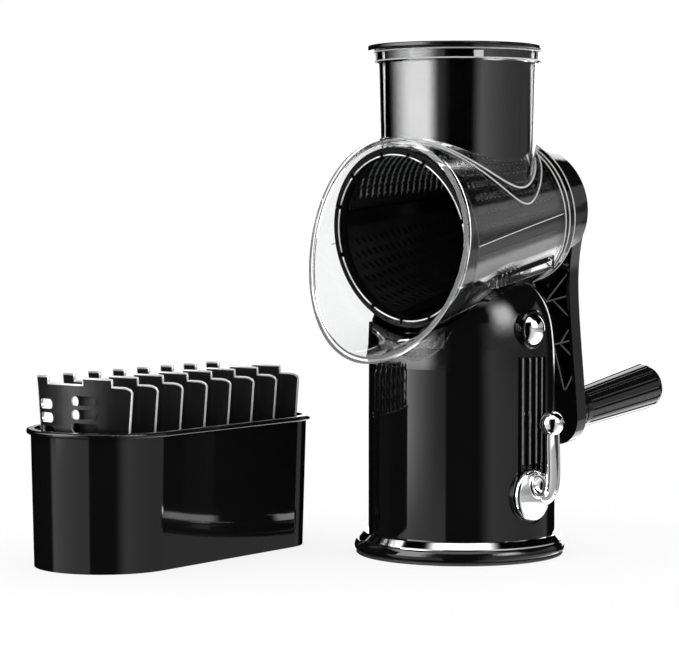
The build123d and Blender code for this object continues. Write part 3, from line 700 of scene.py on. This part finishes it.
# ---- crests of the ribs
# Thin round crests run along the truss in the arm's pocket and down the pedestal's ribbed panel.
# Their grey colour is a painted highlight, so they read as fine grey lines on the black.
def crest_highlight_finish():
    graph = Graph(bpy.data.materials.new("crest_painted_highlight"))
    highlight_mottle = speckle(graph, 700.0, 3.0)
    colour = graph.node("ShaderNodeMix", {"data_type": "RGBA"},
                        # grey colour: a painted highlight along the crests
                        {"Factor": highlight_mottle, 6: (0.09, 0.09, 0.092), 7: (0.26, 0.26, 0.262)}, 2)
    graph.end(graph.node("ShaderNodeBsdfPrincipled", None,
                         {"Base Color": colour, "Roughness": 0.2 + highlight_mottle * 0.2}))
    return graph.owner


crest = crest_highlight_finish()


def panel_crests():
    parts = []
    radius, axis_y, groove_step = 53.3, 1.8, 5.9
    height = np.linspace(54.6, 114.0, 30)
    for k in range(4):
        turn = np.radians(-9.85 + groove_step * k) + 0 * height
        path = np.stack([radius * np.cos(turn), axis_y + radius * np.sin(turn), height], -1)
        parts.append(tube(path / 1000, 0.55, 8))
    verts, faces = together(parts)
    new_piece("panel_crests", verts, faces, "base", crest)


panel_crests()


def crank_crests():
    """Each rib runs from and to a point in the arm's plane, x to the right and y down from the hub.

    A crest stops at the pocket's sides, at its foot and at the round of the hub."""
    ribs = [(-18, 62.5, 18, 53.4), (-18, 88.5, 18, 80.2), (18.6, 40.5, 2.5, 56), (-17.5, 40, 1.5, 57),
            (7, 57, 17, 66), (17, 73, 9, 82.5), (-16.5, 66, -6, 85), (0, 59, -14, 88), (9, 83, 17, 90),
            (4, 84, 9, 112), (17, 100, 9, 112), (-16, 92, -9, 112), (-16, 92, 3, 85), (-10, 90, 2, 112)]
    parts = []
    for x0, y0, x1, y1 in ribs:
        share = np.linspace(0, 1, 60)
        x, y = x0 + (x1 - x0) * share, y0 + (y1 - y0) * share
        half = np.interp(y, (34, 42, 63, 99, 111), (21.4, 18.8, 16.9, 16.0, 15.8))
        keep = (np.abs(x) < half - 0.2) & (y < 111) & (np.hypot(x, y) > 36.9)
        parts.append(tube(at_drum(x[keep], y[keep], 70.15), 0.5, 8))
    verts, faces = together(parts)
    new_piece("crank_crests", verts, faces, "crank", crest)


crank_crests()


# ---- release button
# A deep chrome dome whose end is a cap of a ball.
def button_dome():
    """The ball's radius is the rim's squared plus the cap's height squared, over twice that height."""
    rim, height, tip, button_z, around = 8.84, 4.7, 59.2, 130, 64
    ball = (rim ** 2 + height ** 2) / (2 * height)
    bend = np.linspace(np.arcsin(rim / ball), 0.01, 20)
    r = np.concatenate([[0.01, 8.6, rim, rim], ball * np.sin(bend)])[:, None]
    x = np.concatenate([[47.0, 47.0, 47.2, 54.4], tip - ball + ball * np.cos(bend)])[:, None]
    turn = np.linspace(0, 2 * np.pi, around, endpoint=False)
    verts = np.stack([x + 0 * turn, r * np.cos(turn), button_z + r * np.sin(turn)], -1) / 1000
    faces = grid_faces(len(r), around)
    new_piece("button_dome", verts, faces, "release_button", chrome, ("lock_button",))


button_dome()


# ---- suction lever
# The disc is slightly domed, with a round finger cup sunk in it. The arm starts in a hook on the disc and
# runs up to the ball, with a groove that widens upwards; the groove and a ring round the cup's rim are
# painted black as shade.
lever_z = 37.0                  # the lever's axis over the worktop
disc_radius = 14.7
cup_y, cup_z, cup_radius = 0.5, 5.5, 5.4


def lever_finish():
    """Chrome, painted black as shade wherever the mesh's groove attribute is 1."""
    graph = Graph(bpy.data.materials.new("lever_chrome"))
    broad = speckle(graph, 60.0)
    groove = graph.node("ShaderNodeAttribute", {"attribute_name": "groove"}, output=2)
    colour = graph.node("ShaderNodeMix", {"data_type": "RGBA"},
                        {"Factor": broad, 6: (0.86, 0.87, 0.88), 7: (0.95, 0.95, 0.955)}, 2)
    colour = graph.node("ShaderNodeMix", {"data_type": "RGBA"},
                        {"Factor": groove, 6: colour, 7: (0.01, 0.01, 0.01)}, 2)
    graph.end(graph.node("ShaderNodeBsdfPrincipled", None,
                         {"Base Color": colour, "Metallic": 1 - groove,
                          "Roughness": 0.04 + broad * 0.05 + groove * 0.2}))
    return graph.owner


def lever_face(y, z):
    """Height of the disc's face: a low dome with a rounded rim, less the bowl, plus its lip."""
    r = np.hypot(y, z)
    d = np.hypot(y - cup_y, z - cup_z)
    height = 55.4 + 2.8 * (1 - (r / disc_radius) ** 2)
    over = np.clip((r - 13.1) / 1.6, 0, 1)
    height = height - 1.6 * (1 - np.sqrt(np.maximum(1 - over ** 2, 0)))
    bowl = 57.8 - 3.2 * (1 - (d / cup_radius) ** 2)
    height = np.where(d < cup_radius, np.minimum(height, bowl), height)
    return height + 1.0 * np.exp(-((d - 6.1) / 0.6) ** 2)


def suction_lever():
    """The arm's section is a rounded bar about a centre line through the knots.

    Its top is the sine of the way round to the power 0.55, and the groove sinks it where the way
    across is within the groove's half width of the groove's middle."""
    rings, around = 110, 200
    r, turn = np.meshgrid(np.linspace(0.02, disc_radius, rings),
                          np.linspace(0, 2 * np.pi, around, endpoint=False), indexing="ij")
    y, z = r * np.cos(turn), r * np.sin(turn)
    disc = np.stack([lever_face(y, z), y, lever_z + z], -1)
    turn = turn[0]
    wall = [np.stack([np.full(around, x), rr * np.cos(turn), lever_z + rr * np.sin(turn)], -1)
            for rr, x in ((disc_radius, 53.2), (14.2, 52.7), (0.02, 52.7))]
    disc = np.concatenate([disc, np.stack(wall)]).reshape(-1, 3)
    disc_faces = grid_faces(rings + 3, around)
    # arm: centre line in y and z, half width, thickness, height of its underside
    knots = np.array([
        (2.5, 35.6, 1.5, 0.8, 57.4), (6.3, 34.4, 3.2, 1.9, 57.0), (10.4, 36.0, 4.4, 2.7, 56.6),
        (13.0, 40.4, 5.2, 3.0, 56.8), (13.6, 46.5, 5.4, 3.0, 57.0), (13.1, 55.0, 5.4, 2.9, 57.4),
        (12.3, 64.0, 5.3, 2.8, 57.8), (11.3, 70.0, 5.2, 2.8, 58.4), (10.5, 74.0, 4.9, 3.0, 58.8),
    ])
    long, round_ = 90, 72
    steps = np.linspace(0, len(knots) - 1, long)
    lines = [np.interp(steps, np.arange(len(knots)), knots[:, k]) for k in range(5)]
    smooth = np.ones(9) / 9
    lines = [np.convolve(np.pad(v, 4, "edge"), smooth, "valid") for v in lines]
    cy, cz, half, thick, foot = lines
    way = np.stack([np.gradient(cy), np.gradient(cz)], -1)
    way /= np.linalg.norm(way, axis=1)[:, None]
    turn = np.linspace(0, 2 * np.pi, round_, endpoint=False)
    across = np.cos(turn)
    lift = np.where(np.sin(turn) > 0, np.abs(np.sin(turn)) ** 0.55, 0.0)
    share = np.clip((cz - 42) / 28, 0, 1)[:, None]
    wide, middle = 0.06 + 0.34 * share, 0.42 - 0.12 * share
    dip = 1 / (1 + np.exp((np.abs(across - middle) - wide) / 0.03))
    dip = np.where((np.sin(turn) > 0) & (cz[:, None] > 38), dip, 0.0)
    offset = half[:, None] * across
    y = cy[:, None] + offset * way[:, 1][:, None]
    z = cz[:, None] - offset * way[:, 0][:, None]
    x = foot[:, None] + thick[:, None] * (lift - 0.35 * dip)
    arm = np.stack([x, y, z], -1).reshape(-1, 3)
    ends = [list(range(round_)), [(long - 1) * round_ + k for k in range(round_)][::-1]]
    arm_faces = grid_faces(long, round_) + ends
    verts, faces = together([(disc / 1000, disc_faces), (arm / 1000, arm_faces)])
    made = new_piece("lever_plate", verts, faces, "lever", lever_finish(),
                     ("suction_lever",))
    groove = np.zeros(len(verts), np.float32)
    # painted shade: black in the arm's groove
    groove[len(disc):] = np.clip(dip * 1.6 - 0.3, 0, 1).ravel()
    face = disc[:rings * around]
    ring = np.hypot(face[:, 1] - cup_y, face[:, 2] - lever_z - cup_z)
    # painted shade: a black ring just inside the cup's lip
    groove[:rings * around] = np.exp(-((ring - 5.3) / 0.45) ** 4)
    made.data.attributes.new("groove", "FLOAT", "POINT").data.foreach_set("value", groove)


suction_lever()
